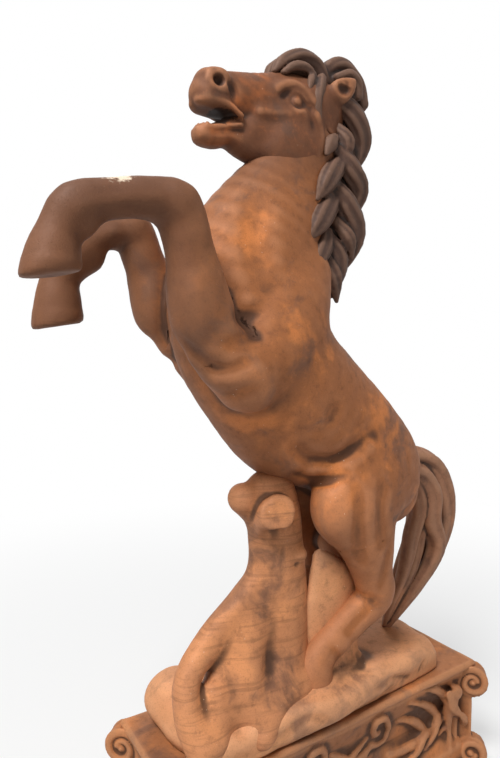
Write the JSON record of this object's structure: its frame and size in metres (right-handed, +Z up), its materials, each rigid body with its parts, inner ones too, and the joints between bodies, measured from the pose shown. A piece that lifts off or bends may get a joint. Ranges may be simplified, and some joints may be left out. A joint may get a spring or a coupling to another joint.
{
  "type": "rearing horse statue",
  "caption": "Garden statue in rusted cast iron: a rearing horse on its hind legs, its belly carried by a tree stump, on a rock slab bolted to a scrolled plinth.",
  "frame": {"origin": "middle of the statue's box on the floor, under the plinth", "axes": "+Z up; the horse faces -X and its left side is -Y"},
  "size_m": [0.9354, 0.2832, 1.4402],
  "materials": {
    "hide_iron": "rusted cast iron, matt, dry: brown with orange patches, fine pits and pale specks",
    "hair_iron": "rusted cast iron, matt, darker brown in the grooves of the locks",
    "bark_iron": "rusted cast iron, matt, fine grooves round the trunk",
    "rock_iron": "rusted cast iron, matt, chiselled facets, lighter orange brown",
    "ornament_iron": "rusted cast iron, matt, leaf relief, darker in the hollows",
    "bolt_steel": "plain steel, satin, lightly stained"
  },
  "bodies": {
    "root": {"belly_dowel": "bolt_steel", "body_left": "hide_iron", "body_right": "hide_iron", "corner_scroll_back_left": "ornament_iron", "corner_scroll_back_right": "ornament_iron", "corner_scroll_front_left": "ornament_iron", "corner_scroll_front_right": "ornament_iron", "foreleg_left": "hide_iron", "foreleg_left_nut": "bolt_steel", "foreleg_left_stud": "bolt_steel", "foreleg_right": "hide_iron", "foreleg_right_nut": "bolt_steel", "foreleg_right_stud": "bolt_steel", "head": "hide_iron", "head_bolt_left": "bolt_steel", "head_bolt_right": "bolt_steel", "head_nut_left": "bolt_steel", "head_nut_right": "bolt_steel", "hind_leg_left": "hide_iron", "hind_leg_left_nut": "bolt_steel", "hind_leg_left_stud": "bolt_steel", "hind_leg_right": "hide_iron", "hind_leg_right_nut": "bolt_steel", "hind_leg_right_stud": "bolt_steel", "hoof_dowel_left": "bolt_steel", "hoof_dowel_right": "bolt_steel", "mane": "hair_iron", "mane_screw_lower": "bolt_steel", "mane_screw_upper": "bolt_steel", "plinth_body": "ornament_iron", "plinth_plate": "ornament_iron", "rock_base": "rock_iron", "scroll_bolt_back_left": "bolt_steel", "scroll_bolt_back_right": "bolt_steel", "scroll_bolt_front_left": "bolt_steel", "scroll_bolt_front_right": "bolt_steel", "seam_bolt_flank": "bolt_steel", "seam_bolt_girth": "bolt_steel", "seam_bolt_loin": "bolt_steel", "seam_bolt_throat": "bolt_steel", "seam_nut_flank": "bolt_steel", "seam_nut_girth": "bolt_steel", "seam_nut_loin": "bolt_steel", "seam_nut_throat": "bolt_steel", "slab_bolt_back_left": "bolt_steel", "slab_bolt_back_right": "bolt_steel", "slab_bolt_front_left": "bolt_steel", "slab_bolt_front_right": "bolt_steel", "stump_bolt_left": "bolt_steel", "stump_bolt_right": "bolt_steel", "tail": "hair_iron", "tail_screw": "bolt_steel", "tree_stump": "bark_iron"}
  },
  "joints": []
}
